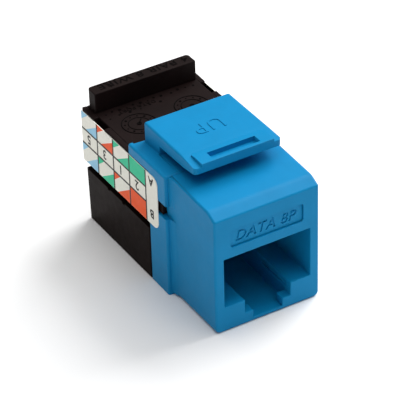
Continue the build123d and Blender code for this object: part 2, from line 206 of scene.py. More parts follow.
@dataclass(frozen=True)
class MouldedPlastic:
    """Injection-moulded plastic: spark-eroded grain, slow mottling and handling marks.

    Attributes:
        name: the material's name.
        colour: the plastic's colour, linear.
        shade: how much darker the mottling's dark parts are.
        roughness: lowest and highest roughness.
        grain: fine grain's depth in metres.
        coarse: coarse waviness's depth, as a multiple of the grain's.
        scales: cells per metre of the mottling, handling marks, coarse waviness and fine grain.
        specular: the shader's specular level.
    """

    name: str
    colour: Colour
    shade: float = 0.08
    roughness: Span = (0.36, 0.48)
    grain: float = 4e-6
    coarse: float = 3.0
    scales: tuple[float, float, float, float] = (260.0, 900.0, 420.0, 9000.0)
    specular: float = 0.5

    def material(self) -> bpy.types.Material:
        """Builds the material."""
        mottling, handling, coarse, fine = self.scales
        nodes = Nodes(self.name)
        dark = tuple(channel * (1 - self.shade) for channel in self.colour)
        cover = nodes.ramp(nodes.noise(mottling, 3.0), dark, self.colour, 0.3, 0.62)
        nodes.link(cover, nodes.shader.inputs["Base Color"])
        handled = nodes.remap(nodes.noise(handling, 6.0, 0.7), *self.roughness)
        nodes.link(handled, nodes.shader.inputs["Roughness"])
        waves = nodes.bump(nodes.noise(coarse, 2.0), self.grain * self.coarse, 0.5)
        grained = nodes.bump(nodes.noise(fine, 5.0, 0.7), self.grain, 1.0, waves)
        nodes.link(grained, nodes.shader.inputs["Normal"])
        nodes.set(Specular_IOR_Level=self.specular)
        return nodes.material


@dataclass(frozen=True)
class PlatedMetal:
    """Plated spring bronze with drawing marks along it.

    Attributes:
        name: the material's name.
        colour: the plating's colour, linear.
        tarnish: the colour of its duller spots.
        roughness: lowest and highest roughness.
        marks: depth of the drawing marks in metres.
        scales: cells per metre of the spots, sheen and drawing marks.
    """

    name: str
    colour: Colour
    tarnish: Colour
    roughness: Span = (0.16, 0.34)
    marks: float = 1.5e-6
    scales: tuple[float, float, float] = (1500.0, 5200.0, 12000.0)

    def material(self) -> bpy.types.Material:
        """Builds the material."""
        spots, sheen, marks = self.scales
        nodes = Nodes(self.name)
        plating = nodes.ramp(nodes.noise(spots, 5.0), self.tarnish, self.colour, 0.32, 0.5)
        nodes.link(plating, nodes.shader.inputs["Base Color"])
        nodes.link(nodes.remap(nodes.noise(sheen, 4.0), *self.roughness), nodes.shader.inputs["Roughness"])
        nodes.link(nodes.bump(nodes.noise(marks, 3.0), self.marks), nodes.shader.inputs["Normal"])
        nodes.set(Metallic=1.0)
        return nodes.material


@dataclass(frozen=True)
class PrintedFilm:
    """Vinyl film or an ink on it, with a fine tooth and slightly uneven cover.

    Attributes:
        name: the material's name.
        colour: the colour, linear.
        shade: how much darker the thin spots are.
        roughness: lowest and highest roughness.
        specular: the shader's specular level.
        tooth: the tooth's depth in metres.
        scales: cells per metre of the cover, sheen and tooth.
    """

    name: str
    colour: Colour
    shade: float = 0.06
    roughness: Span = (0.38, 0.55)
    specular: float = 0.12
    tooth: float = 1.5e-6
    scales: tuple[float, float, float] = (2600.0, 1400.0, 7000.0)

    def material(self) -> bpy.types.Material:
        """Builds the material."""
        cover, sheen, tooth = self.scales
        nodes = Nodes(self.name)
        thin = tuple(channel * (1 - self.shade) for channel in self.colour)
        printed = nodes.ramp(nodes.noise(cover, 6.0, 0.75), thin, self.colour, 0.35, 0.6)
        nodes.link(printed, nodes.shader.inputs["Base Color"])
        nodes.link(nodes.remap(nodes.noise(sheen), *self.roughness), nodes.shader.inputs["Roughness"])
        nodes.link(nodes.bump(nodes.noise(tooth, 3.0), self.tooth), nodes.shader.inputs["Normal"])
        nodes.set(Specular_IOR_Level=self.specular)
        return nodes.material


@dataclass(frozen=True)
class SolderMask:
    """Green-masked glass-epoxy board: weave under the mask and a glossy coat.

    Attributes:
        name: the material's name.
        colour: the mask's colour, linear.
        weave: the colour where the glass cloth shows through.
        roughness: lowest and highest roughness.
        threads: the cloth's threads per metre.
        relief: the weave's depth in metres.
        coat: the glossy coat's weight and roughness.
    """

    name: str
    colour: Colour
    weave: Colour
    roughness: Span = (0.22, 0.34)
    threads: float = 1400.0
    relief: float = 3e-6
    coat: Span = (0.4, 0.12)

    def material(self) -> bpy.types.Material:
        """Builds the material."""
        nodes = Nodes(self.name)
        cloth = nodes.add("ShaderNodeTexWave", Scale=self.threads, Distortion=0.4)
        nodes.link(nodes.place, cloth.inputs["Vector"])
        colour = nodes.ramp(cloth.outputs["Fac"], self.colour, self.weave, 0.2, 0.9)
        nodes.link(colour, nodes.shader.inputs["Base Color"])
        nodes.link(nodes.remap(nodes.noise(800.0), *self.roughness), nodes.shader.inputs["Roughness"])
        nodes.link(nodes.bump(cloth.outputs["Fac"], self.relief), nodes.shader.inputs["Normal"])
        nodes.set(Coat_Weight=self.coat[0], Coat_Roughness=self.coat[1])
        return nodes.material


@dataclass(frozen=True)
class Palette:
    """Every finish of the jack, built once and shared."""

    blue: bpy.types.Material
    black: bpy.types.Material
    cap: bpy.types.Material
    shaded_black: bpy.types.Material
    carrier: bpy.types.Material
    gold: bpy.types.Material
    tin: bpy.types.Material
    solder: bpy.types.Material
    board: bpy.types.Material
    track: bpy.types.Material
    film: bpy.types.Material
    ink_black: bpy.types.Material
    ink_blue: bpy.types.Material
    ink_pale_blue: bpy.types.Material
    ink_orange: bpy.types.Material
    ink_green: bpy.types.Material
    ink_brown: bpy.types.Material

    @classmethod
    def mixed(cls) -> "Palette":
        """Builds the palette from its finishes."""
        finishes = dict(
            blue=MouldedPlastic("blue_abs", (0.0035, 0.235, 0.50), 0.06, (0.38, 0.48), specular=0.1),
            black=MouldedPlastic("black_block_plastic", (0.011, 0.0058, 0.0055), 0.3, (0.5, 0.64),
                                 specular=0.06),
            cap=MouldedPlastic("black_cap_plastic", (0.009, 0.0042, 0.0034), 0.2, (0.4, 0.52), specular=0.03),
            # painted shade: a darker black for the cover's letters, wheels and marks and for the label film's
            # back, standing in for shade in and between parts
            shaded_black=MouldedPlastic("painted_shade_black", (0.0022, 0.0014, 0.0014), 0.2, (0.55, 0.7), specular=0.03),
            carrier=MouldedPlastic("carrier_plastic", (0.012, 0.012, 0.014), 0.3, (0.5, 0.65)),
            gold=PlatedMetal("gold_plating", (0.9, 0.62, 0.22), (0.62, 0.38, 0.12)),
            tin=PlatedMetal("tin_plating", (0.72, 0.72, 0.7), (0.45, 0.44, 0.42), (0.25, 0.42)),
            solder=PlatedMetal("solder", (0.62, 0.62, 0.63), (0.4, 0.4, 0.4), (0.2, 0.3)),
            board=SolderMask("green_solder_mask", (0.006, 0.085, 0.03), (0.012, 0.14, 0.05)),
            track=SolderMask("masked_copper", (0.012, 0.15, 0.055), (0.018, 0.2, 0.07)),
            film=PrintedFilm("label_film", (0.93, 0.92, 0.83)),
            ink_black=PrintedFilm("ink_black", (0.022, 0.022, 0.018)),
            ink_blue=PrintedFilm("ink_blue", (0.03, 0.13, 0.55)),
            ink_pale_blue=PrintedFilm("ink_pale_blue", (0.34, 0.66, 0.88)),
            ink_orange=PrintedFilm("ink_orange", (0.95, 0.105, 0.016)),
            ink_green=PrintedFilm("ink_green", (0.035, 0.62, 0.34)),
            ink_brown=PrintedFilm("ink_brown", (0.14, 0.05, 0.018)),
        )
        return cls(**{name: finish.material() for name, finish in finishes.items()})


# ---------------------------------------------------------------- bench


def at(x: float, depth: float, z: float) -> Vector:
    """Turns millimetres across, behind the plug face and up into a point in metres."""
    return Vector((x, depth - FACE_TO_MIDDLE, z)) * MM


def measured(point: Vector) -> Vector:
    """Turns a point in metres into millimetres across, behind the plug face and up."""
    return point / MM + Vector((0, FACE_TO_MIDDLE, 0))


@dataclass(frozen=True)
class Region:
    """A box-shaped part of the jack, the same on its left and right.

    Attributes:
        depths: least and greatest depth behind the plug face, in millimetres.
        heights: lowest and highest height.
        across: least and greatest distance from the middle plane.
    """

    depths: Span = (-FAR, FAR)
    heights: Span = (-FAR, FAR)
    across: Span = (-FAR, FAR)

    def holds(self, point: Vector) -> bool:
        """Tells whether a point, in millimetres, lies inside."""
        spans = (self.across, self.depths, self.heights)
        return all(low < value < high for value, (low, high) in zip((abs(point.x), point.y, point.z), spans))


@dataclass
class Bench:
    """Where pieces are modelled, with the modelling steps that they share.

    Attributes:
        frame: the CAD frame.
        palette: the jack's finishes.
    """

    frame: dict
    palette: Palette

    def only(self, piece: bpy.types.Object) -> None:
        """Makes a piece the only selected and active one.

        Args:
            piece: the piece.
        """
        bpy.ops.object.select_all(action="DESELECT")
        piece.select_set(True)
        bpy.context.view_layer.objects.active = piece

    def cad_copy(self, node: str, name: str) -> bpy.types.Object:
        """Copies a CAD node's mesh and merges it, so that faces share their edges.

        Args:
            node: the CAD node.
            name: the copy's name.

        Returns:
            The copy, with no parent.
        """
        source = self.frame["nodes"][node]
        piece = source.copy()
        piece.data = source.data.copy()
        piece.parent = None
        piece.name = name
        for key in list(piece.keys()):
            del piece[key]
        bpy.context.scene.collection.objects.link(piece)
        self.only(piece)
        with self.editing(piece):
            bpy.ops.mesh.remove_doubles(threshold=MERGE_GAP)
            bpy.ops.mesh.dissolve_limited(angle_limit=FLAT_ANGLE, delimit=set())
        return piece

    @contextmanager
    def editing(self, piece: bpy.types.Object, kind: str = "EDGE",
                every: bool = True) -> Iterator[bmesh.types.BMesh]:
        """Opens a piece for editing and closes it again.

        Args:
            piece: the piece to edit.
            kind: whether vertices, edges or faces are selected.
            every: True to start with everything selected, False with nothing.

        Yields:
            The piece's edit mesh.
        """
        self.only(piece)
        bpy.ops.object.mode_set(mode="EDIT")
        bpy.ops.mesh.select_mode(type=kind)
        bpy.ops.mesh.select_all(action="SELECT" if every else "DESELECT")
        yield bmesh.from_edit_mesh(piece.data)
        bpy.ops.object.mode_set(mode="OBJECT")

    def bevel(self, piece: bpy.types.Object, width: float, chosen: Callable[[Vector], bool],
              segments: int = 2, sharper: float = 40.0) -> None:
        """Rounds a piece's sharp edges.

        Args:
            piece: the piece.
            width: the round's size in millimetres.
            chosen: tells from an edge's middle, in millimetres, whether it is rounded.
            segments: steps in the round.
            sharper: only edges with a larger angle than this, in degrees.
        """
        shortest = 3.0 * width * MM
        smallest = 5.0 * (width * MM) ** 2
        with self.editing(piece, "EDGE", every=False) as mesh:
            for edge in mesh.edges:
                if len(edge.link_faces) != 2 or edge.calc_length() < shortest:
                    continue
                if edge.calc_face_angle(0) < math.radians(sharper):
                    continue
                if any(face.calc_area() < smallest for face in edge.link_faces):
                    continue
                if chosen(measured((edge.verts[0].co + edge.verts[1].co) / 2)):
                    edge.select_set(True)
            bmesh.update_edit_mesh(piece.data)
            bpy.ops.mesh.bevel(offset=width * MM, segments=segments, profile=0.5, clamp_overlap=False,
                               affect="EDGES")

    def smooth(self, piece: bpy.types.Object, angle: float = 35.0) -> None:
        """Shades a piece smooth up to an angle, with flat faces kept flat.

        Args:
            piece: the piece.
            angle: edges with a larger angle, in degrees, stay sharp.
        """
        self.only(piece)
        bpy.ops.object.shade_smooth_by_angle(angle=math.radians(angle))
        weighted = piece.modifiers.new("weighted", "WEIGHTED_NORMAL")
        weighted.keep_sharp = True
        bpy.ops.object.modifier_apply(modifier="weighted")

    def placed(self, name: str) -> bpy.types.Object:
        """Names the primitive just added and moves its place and size into its mesh.

        Args:
            name: the new name.

        Returns:
            The primitive.
        """
        piece = bpy.context.object
        piece.name = name
        bpy.ops.object.transform_apply(location=True, rotation=True, scale=True)
        return piece

    def box(self, name: str, low: Point, high: Point) -> bpy.types.Object:
        """Adds a box between two corners.

        Args:
            name: the box's name.
            low: its lowest corner: across, depth and height, in millimetres.
            high: its highest corner.

        Returns:
            The box.
        """
        first, last = at(*low), at(*high)
        bpy.ops.mesh.primitive_cube_add(size=1.0, location=(first + last) / 2, scale=last - first)
        return self.placed(name)

    def round(self, name: str, middle: Point, radius: float, height: float,
              vertices: int) -> bpy.types.Object:
        """Adds an upright cylinder whose foot stands at a point.

        Args:
            name: the cylinder's name.
            middle: the foot's middle, in millimetres.
            radius: its radius in millimetres.
            height: its height in millimetres.
            vertices: corners of its outline.

        Returns:
            The cylinder.
        """
        place = at(*middle) + Vector((0, 0, height * MM / 2))
        bpy.ops.mesh.primitive_cylinder_add(vertices=vertices, radius=radius * MM, depth=height * MM,
                                            location=place)
        return self.placed(name)

    def ring(self, name: str, middle: Point, radius: float, thick: float) -> bpy.types.Object:
        """Adds a thin raised ring that lies flat.

        Args:
            name: the ring's name.
            middle: its middle, in millimetres.
            radius: its radius in millimetres.
            thick: its section's radius in millimetres.

        Returns:
            The ring.
        """
        bpy.ops.mesh.primitive_torus_add(major_radius=radius * MM, minor_radius=thick * MM, major_segments=56,
                                         minor_segments=8, location=at(*middle))
        return self.placed(name)

    def joined(self, name: str, parts: list[bpy.types.Object]) -> bpy.types.Object:
        """Joins pieces into one with the first one's place.

        Args:
            name: the result's name.
            parts: the pieces, at least one.

        Returns:
            The joined piece.
        """
        bpy.ops.object.select_all(action="DESELECT")
        for part in parts:
            part.select_set(True)
        bpy.context.view_layer.objects.active = parts[0]
        if len(parts) > 1:
            bpy.ops.object.join()
        parts[0].name = name
        return parts[0]

    def sheet(self, name: str, outlines: list[Outline], thick: float, facing: "Facing", origin: Point,
              words: "Lettering | None" = None) -> bpy.types.Object:
        """Cuts a thin flat piece from outlines; an outline or a letter inside another becomes a hole.

        Args:
            name: the piece's name.
            outlines: closed outlines in the piece's own plane, in millimetres.
            thick: its thickness in millimetres.
            facing: which way it faces.
            origin: where its own plane's origin goes, in millimetres. The piece grows outwards from there.
            words: lettering in the same plane.

        Returns:
            The mesh.
        """
        if words is None:
            data = bpy.data.curves.new(name, "CURVE")
            piece = bpy.data.objects.new(name, data)
            bpy.context.scene.collection.objects.link(piece)
        else:
            piece = words.curve(self)
            data = piece.data
        data.dimensions, data.fill_mode = "2D", "BOTH"
        data.extrude, data.bevel_depth = thick * MM / 2, 0.0
        for outline in outlines:
            spline = data.splines.new("POLY")
            spline.points.add(len(outline) - 1)
            for point, (x, y) in zip(spline.points, outline):
                point.co = (x * MM, y * MM, 0, 1)
            spline.use_cyclic_u = True
        self.only(piece)
        bpy.ops.object.convert(target="MESH")
        piece = bpy.context.object
        piece.name = name
        right, up, out = facing.axes()
        turn = Matrix((right, up, out)).transposed().to_4x4()
        piece.matrix_world = Matrix.Translation(at(*origin) + out * thick * MM / 2) @ turn
        self.only(piece)
        bpy.ops.object.transform_apply(location=True, rotation=True, scale=True)
        with self.editing(piece):
            bpy.ops.mesh.remove_doubles(threshold=MERGE_GAP)
            bpy.ops.mesh.normals_make_consistent(inside=False)
        return piece

    def hand_in(self, piece: bpy.types.Object, look: bpy.types.Material, slot: str | None, body: str,
                replaced: Iterable[str] = ()) -> None:
        """Gives a finished piece its material and body, and reports it.

        Args:
            piece: the piece.
            look: its material.
            slot: the record's material slot, or None; not used.
            body: the CAD body that it moves with.
            replaced: the CAD nodes that it stands for.
        """
        piece.data.materials.clear()
        piece.data.materials.append(look)
        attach(piece, body)
        if replaced:
            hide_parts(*replaced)
        LOG.info("%s: %d faces, moves with %s", piece.name, len(piece.data.polygons), body)


class Facing(Enum):
    """Which way a flat piece or lettering faces, and where its top points."""

    FRONT = ((1, 0, 0), (0, 0, 1))
    UP_READ_FROM_REAR = ((-1, 0, 0), (0, -1, 0))
    LEFT = ((0, -1, 0), (0, 0, 1))
    RIGHT = ((0, 1, 0), (0, 0, 1))
    LEFT_INVERTED = ((0, 1, 0), (0, 0, -1))
    RIGHT_INVERTED = ((0, -1, 0), (0, 0, -1))

    def axes(self) -> tuple[Vector, Vector, Vector]:
        """Returns the directions of the piece's own right, its top and its outside."""
        right, up = (Vector(axis) for axis in self.value)
        return right, up, right.cross(up)


@dataclass(frozen=True)
class Lettering:
    """One line of plain lettering.

    Attributes:
        text: what it says.
        height: height of a capital in millimetres.
        weight: how much the strokes are thinned or thickened, in millimetres.
        spacing: distance between letters, 1 for normal.
        slant: how far the letters lean.
        narrow: the letters' width, 1 for normal.
    """

    text: str
    height: float
    weight: float = 0.0
    spacing: float = 1.0
    slant: float = 0.0
    narrow: float = 1.0

    def curve(self, bench: Bench) -> bpy.types.Object:
        """Makes the letters' outlines as a curve round the plane's origin.

        Args:
            bench: where it is made.

        Returns:
            The curve object.
        """
        data = bpy.data.curves.new("letters", "FONT")
        data.body, data.align_x, data.align_y = self.text, "CENTER", "CENTER"
        data.size = self.height * MM / CAPITAL_SHARE
        data.offset, data.shear, data.space_character = self.weight * MM, self.slant, self.spacing
        data.resolution_u = 3
        piece = bpy.data.objects.new("letters", data)
        bpy.context.scene.collection.objects.link(piece)
        bench.only(piece)
        bpy.ops.object.convert(target="CURVE")
        piece = bpy.context.object
        points = [point for spline in piece.data.splines for point in spline.bezier_points]
        spans = [[point.co[axis] for point in points] for axis in (0, 1)]
        middle = Vector([(min(span) + max(span)) / 2 for span in spans] + [0])
        handles = ("handle_left", "co", "handle_right")
        for point in points:
            ends = [getattr(point, handle) - middle for handle in handles]
            for handle, end in zip(handles, ends):
                setattr(point, handle, (end.x * self.narrow, end.y, 0))
        return piece


# ---------------------------------------------------------------- moulded shells


@dataclass
class Shell:
    """A moulding that keeps its CAD shape and gets rounded edges.

    Attributes:
        node: the CAD node.
        look: the palette's finish.
        slot: the record's material slot.
        body: the CAD body.
        width: the edges' round in millimetres.
        sharp: where edges stay sharp, because a round has no room.
    """

    node: str
    look: str
    slot: str
    body: str = "jack"
    width: float = 0.1
    sharp: tuple[Region, ...] = ()

    def build(self, bench: Bench) -> None:
        """Makes the moulding.

        Args:
            bench: where it is modelled.
        """
        piece = bench.cad_copy(self.node, f"{self.node}_moulding")
        self.shape(bench, piece)
        bench.bevel(piece, self.width, lambda middle: not any(region.holds(middle) for region in self.sharp))
        bench.smooth(piece)
        bench.hand_in(piece, getattr(bench.palette, self.look), self.slot, self.body, [self.node])

    def shape(self, bench: Bench, piece: bpy.types.Object) -> None:
        """Changes the moulding before its edges are rounded; a plain shell needs nothing."""


@dataclass
class FrontHousing(Shell):
    """The blue front moulding, with the latch's root shrunk inside the latch's own moulding.

    Attributes:
        sharp: the ramps' ends, the clip's ribs, the hook grooves and the clip's low ledge.
        root: where the latch's root is.
        root_middle: the point that it shrinks towards: across, depth and height.
        root_share: its width and length after shrinking, as a share.
        root_sink: how far its top is lowered, in millimetres.
    """

    node: str = "front_housing"
    look: str = "blue"
    slot: str = "blue_housing"
    width: float = 0.12
    sharp: tuple[Region, ...] = (
        Region(depths=(8.4, 9.75), across=(6.8, FAR)),
        Region(depths=(0.8, 6.7), heights=(2.2, 3.2), across=(-FAR, 3.4)),
        Region(depths=(7.9, 9.7), heights=(-FAR, 1.0)),
        Region(depths=(1.0, 2.0), heights=(-FAR, 0.6), across=(-FAR, 3.3)),
    )
    root: Region = Region(depths=(14.2, FAR), heights=(17.4, FAR), across=(-FAR, 6.1))
    root_middle: Point = (0.0, 16.25, 18.0)
    root_share: float = 0.9
    root_sink: float = 0.4

    def shape(self, bench: Bench, piece: bpy.types.Object) -> None:
        """Shrinks the latch's root, which the latch's moulding covers.

        Args:
            bench: where it is modelled.
            piece: the housing.
        """
        with bench.editing(piece, "VERT", every=False) as mesh:
            for vertex in mesh.verts:
                if self.root.holds(measured(vertex.co)):
                    vertex.select_set(True)
            mesh.select_flush_mode()
            bmesh.update_edit_mesh(piece.data)
            share = (self.root_share, self.root_share, 1)
            bpy.ops.transform.resize(value=share, center_override=at(*self.root_middle))
            bpy.ops.transform.translate(value=(0, 0, -self.root_sink * MM))


@dataclass(frozen=True)
class DateWheel:
    """A moulded date wheel: two rings, a hub, an arrow and twelve month marks.

    Attributes:
        x: its middle across, in millimetres.
        depth: its middle behind the plug face.
        turn: which way its arrow points, in degrees.
        radius: its radius.
        sections: the outer and inner ring's section radius.
        inner: the inner ring's radius, as a share of the wheel's.
        hub: the hub's radius, as a share.
        hub_height: the hub's height.
        arrow: the arrow's length, as a share.
        arrow_half: half the arrow's width, and how far it stands above the plate.
        circle: the month marks' distance from the middle, as a share.
        months: radius of a month mark and of every third one.
        month_height: height of the month marks.
    """

    x: float
    depth: float
    turn: float
    radius: float = 2.2
    sections: Span = (0.07, 0.06)
    inner: float = 0.62
    hub: float = 0.14
    hub_height: float = 0.09
    arrow: float = 0.5
    arrow_half: float = 0.07
    circle: float = 0.81
    months: Span = (0.09, 0.15)
    month_height: float = 0.08

    def parts(self, bench: Bench, plate: float, sunk: float) -> list[bpy.types.Object]:
        """Makes the wheel's parts.

        Args:
            bench: where they are modelled.
            plate: height of the plate that the wheel stands on.
            sunk: how far its parts reach into the plate.

        Returns:
            The parts.
        """
        middle, foot = (self.x, self.depth, plate), plate - sunk
        parts = [bench.ring("rim", middle, self.radius, self.sections[0])]
        parts.append(bench.ring("inner_rim", middle, self.radius * self.inner, self.sections[1]))
        hub = (self.x, self.depth, foot)
        parts.append(bench.round("hub", hub, self.radius * self.hub, self.hub_height, vertices=20))
        reach = self.radius * self.circle
        for month in range(12):
            angle = math.radians(30 * month + self.turn)
            place = (self.x + reach * math.cos(angle), self.depth + reach * math.sin(angle), foot)
            size = self.months[0] if month % 3 else self.months[1]
            parts.append(bench.round("month", place, size, self.month_height, vertices=10))
        tip = (self.x + self.arrow_half, self.depth + self.radius * self.arrow, plate + self.arrow_half)
        pointer = bench.box("pointer", (self.x - self.arrow_half, self.depth, foot), tip)
        with bench.editing(pointer):
            turn = math.radians(self.turn)
            bpy.ops.transform.rotate(value=turn, orient_axis="Z", center_override=at(*middle))
        return parts + [pointer]


@dataclass
class RearCover(Shell):
    """The black plate with its raised wall: moulded lettering, date wheels and ejector marks.

    Attributes:
        plate: height of the plate's top.
        wall: height of the wall's top.
        wheels: the date wheels.
        rows: rows of small raised marks: first across, last across, depth and how many.
        mark_sizes: the smallest mark's radius, and what each of two larger ones adds.
        mark_height: height of the marks.
        stagger: how far a mark may stand behind its row, in two steps.
        sunk: how far raised details and letters reach into the plate.
        wall_words: lettering on the wall.
        wall_place: its middle across and behind the plug face.
        plate_words: lettering on the plate.
        plate_place: its middle across and behind the plug face.
        letters: thickness of the wall's and the plate's letters.
    """

    node: str = "rear_cover"
    look: str = "black"
    slot: str = "black_body"
    width: float = 0.09
    plate: float = 16.15
    wall: float = 18.95
    wheels: tuple[DateWheel, ...] = (DateWheel(-3.8, 23.1, 40.0), DateWheel(3.7, 23.1, 115.0))
    rows: tuple[tuple[float, float, float, int], ...] = (
        (-6.3, 1.6, 27.0, 9),
        (-6.3, 0.9, 25.9, 6),
        (3.0, 6.2, 27.0, 4),
    )
    mark_sizes: Span = (0.10, 0.05)
    mark_height: float = 0.06
    stagger: float = 0.12
    sunk: Span = (0.02, 0.01)
    wall_words: Lettering = Lettering("4 PAIR 8 WIRE", 1.05, 0.012, 1.12, narrow=1.22)
    wall_place: Span = (0.3, 29.0)
    plate_words: Lettering = Lettering("DATA PORT", 0.62, -0.008, 1.1)
    plate_place: Span = (-2.2, 26.5)
    letters: Span = (0.04, 0.05)

    def build(self, bench: Bench) -> None:
        """Makes the cover, then its wheels, marks and lettering as one thin piece, in a darker black that is
        painted shade.

        Args:
            bench: where it is modelled.
        """
        super().build(bench)
        parts = []
        for wheel in self.wheels:
            parts += wheel.parts(bench, self.plate, self.sunk[0])
        for row in self.rows:
            parts += self.marks(bench, *row)
        for name, words, place, top, thick in (
            ("wall_words", self.wall_words, self.wall_place, self.wall, self.letters[0]),
            ("plate_words", self.plate_words, self.plate_place, self.plate, self.letters[1]),
        ):
            origin = (*place, top - self.sunk[1])
            parts.append(bench.sheet(name, [], thick, Facing.UP_READ_FROM_REAR, origin, words))
        # painted shade: the letters, wheels and marks are the cover's own plastic; their darker black stands
        # in for the shade in and around them
        piece = bench.joined("cover_marks", parts)
        bench.smooth(piece)
        bench.hand_in(piece, bench.palette.shaded_black, self.slot, self.body)

    def marks(self, bench: Bench, first: float, last: float, depth: float,
              count: int) -> list[bpy.types.Object]:
        """Makes one row of small raised marks of uneven size.

        Args:
            bench: where they are modelled.
            first: the first mark's place across, in millimetres.
            last: the last mark's place across.
            depth: the row's depth behind the plug face.
            count: how many marks it has.

        Returns:
            The marks.
        """
        marks = []
        for step in range(count):
            x = first + (last - first) * step / (count - 1)
            size = self.mark_sizes[0] + self.mark_sizes[1] * ((step * 7 + count) % 3)
            place = (x, depth + self.stagger * ((step * 5) % 3), self.plate - self.sunk[0])
            marks.append(bench.round("mark", place, size, self.mark_height, vertices=12))
        return marks


# ---------------------------------------------------------------- latch


@dataclass
class KeystoneLatch:
    """The latch arm and its root in one moulding, with the grip ridge and raised lettering.

    Attributes:
        half: half its width in millimetres.
        top: height of its top.
        rear: depth of its rear.
        foot: height where it stands on the deck.
        arm_end: depth of the CAD arm's rear face.
        ramp_end: depth behind which the top's long edges are rounded.
        fine: where the ridge's slot and the low ramp behind it are.
        rounds: round of the long and rear edges, of the fine edges and of all others.
        sharper: edges with a smaller angle than this, in degrees, aren't rounded, apart from the long ones.
        near: how close to a face an edge's middle counts as on it.
        bend: depths between which the moulding flexes.
        bend_height: height of the axis that it flexes about; not used.
        sections: cuts across the stretch that flexes.
        words: lettering on its top.
        words_place: its middle across and behind the plug face.
        letters: thickness of the letters, and how much of it is inside the moulding.
    """

    half: float = 6.0
    top: float = 19.95
    rear: float = 18.05
    foot: float = 17.2
    arm_end: float = 14.4
    ramp_end: float = 9.7
    fine: Region = Region(depths=(6.6, 9.3), heights=(19.4, FAR), across=(-FAR, 5.2))
    rounds: tuple[float, float, float] = (0.3, 0.022, 0.07)
    sharper: float = 44.0
    near: float = 0.02
    bend: Span = (15.2, 12.6)
    bend_height: float = 18.6
    sections: int = 7
    words: Lettering = Lettering("UP", 2.25, -0.05, 1.12)
    words_place: Span = (0.05, 13.0)
    letters: Span = (0.1, 0.02)

    def build(self, bench: Bench) -> None:
        """Makes the latch's moulding and its lettering.

        Args:
            bench: where it is modelled.
        """
        long_round, fine_round, edge_round = self.rounds
        piece = bench.cad_copy("keystone_latch", "keystone_latch_moulding")
        self.lengthen(bench, piece)
        bench.bevel(piece, long_round, self.is_long_edge, segments=4)
        bench.bevel(piece, edge_round, lambda middle: not self.fine.holds(middle), sharper=self.sharper)
        bench.bevel(piece, fine_round, self.fine.holds, segments=1, sharper=self.sharper)
        self.section(bench, piece)
        bench.smooth(piece)
        self.hand_in(bench, piece, ["keystone_latch"])
        thick, sunk = self.letters
        origin = (*self.words_place, self.top - sunk)
        lettering = bench.sheet("latch_lettering", [], thick, Facing.UP_READ_FROM_REAR, origin, self.words)
        bench.smooth(lettering)
        self.hand_in(bench, lettering, [])

    def lengthen(self, bench: Bench, piece: bpy.types.Object) -> None:
        """Extends the arm back over its root and down to the deck.

        Args:
            bench: where it is modelled.
            piece: the arm.
        """
        with bench.editing(piece, "FACE", every=False) as mesh:
            rearmost = max(mesh.faces, key=lambda face: face.calc_center_median().y + MM * face.normal.y)
            rearmost.select_set(True)
            bmesh.update_edit_mesh(piece.data)
            reach = (self.rear - self.arm_end) * MM
            bpy.ops.mesh.extrude_region_move(TRANSFORM_OT_translate={"value": (0, reach, 0)})
        with bench.editing(piece, "FACE", every=False) as mesh:
            for face in mesh.faces:
                middle = face.calc_center_median() / MM
                if face.normal.z < -0.9 and middle.y + FACE_TO_MIDDLE > self.arm_end + 0.1:
                    face.select_set(True)
                    drop = self.foot - middle.z
            bmesh.update_edit_mesh(piece.data)
            bpy.ops.mesh.extrude_region_move(TRANSFORM_OT_translate={"value": (0, 0, drop * MM)})
        with bench.editing(piece):
            bpy.ops.mesh.dissolve_limited(angle_limit=FLAT_ANGLE, delimit=set())

    def is_long_edge(self, middle: Vector) -> bool:
        """True for the top's long and rear edges and the root's upright rear edges.

        Args:
            middle: the edge's middle, in millimetres.

        Returns:
            Whether it is one of these.
        """
        on_side = abs(middle.x) > self.half - self.near
        on_top = middle.z > self.top - self.near
        at_rear = middle.y > self.rear - self.near
        return (on_side and on_top and middle.y > self.ramp_end) or (at_rear and (on_top or on_side))

    def section(self, bench: Bench, piece: bpy.types.Object) -> None:
        """Cuts the moulding across where it flexes, so that it bends smoothly.

        Args:
            bench: where it is modelled.
            piece: the moulding.
        """
        rear, front = self.bend
        for step in range(self.sections):
            depth = front + (rear - front) * step / (self.sections - 1)
            with bench.editing(piece):
                bpy.ops.mesh.bisect(plane_co=at(0, depth, 0), plane_no=(0, 1, 0))

    def hand_in(self, bench: Bench, piece: bpy.types.Object, replaced: list[str]) -> None:
        """Gives a piece of the latch its finish and moves its place into its mesh, attached to no body.

        Args:
            bench: where it is modelled.
            piece: the piece.
            replaced: the CAD nodes that it stands for.
        """
        piece.data.materials.clear()
        piece.data.materials.append(bench.palette.blue)
        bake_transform(piece)
        if replaced:
            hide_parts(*replaced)
        LOG.info("%s: %d faces, bends from jack to latch", piece.name, len(piece.data.polygons))


@dataclass
class MarkingPanel:
    """The plate in the plug face's recess, with its lettering cut through to the recess.

    Attributes:
        half: half its width in millimetres.
        heights: its lower and upper edge.
        corner: its corners' radius.
        face: depth of its face.
        back: depth of the recess.
        words: its lettering.
    """

    half: float = 5.03
    heights: Span = (11.87, 14.38)
    corner: float = 0.38
    face: float = 0.24
    back: float = 0.37
    words: Lettering = Lettering("DATA 8P", 1.4, -0.04, 1.06, 0.22)

    def build(self, bench: Bench) -> None:
        """Makes the panel.

        Args:
            bench: where it is modelled.
        """
        low, high = self.heights
        outline = rounded(self.half, (high - low) / 2, self.corner)
        origin = (0, self.back, (low + high) / 2)
        thick = self.back - self.face
        piece = bench.sheet("marking_panel", [outline], thick, Facing.FRONT, origin, self.words)
        bench.smooth(piece, angle=25.0)
        bench.hand_in(piece, bench.palette.blue, "blue_housing", "jack")


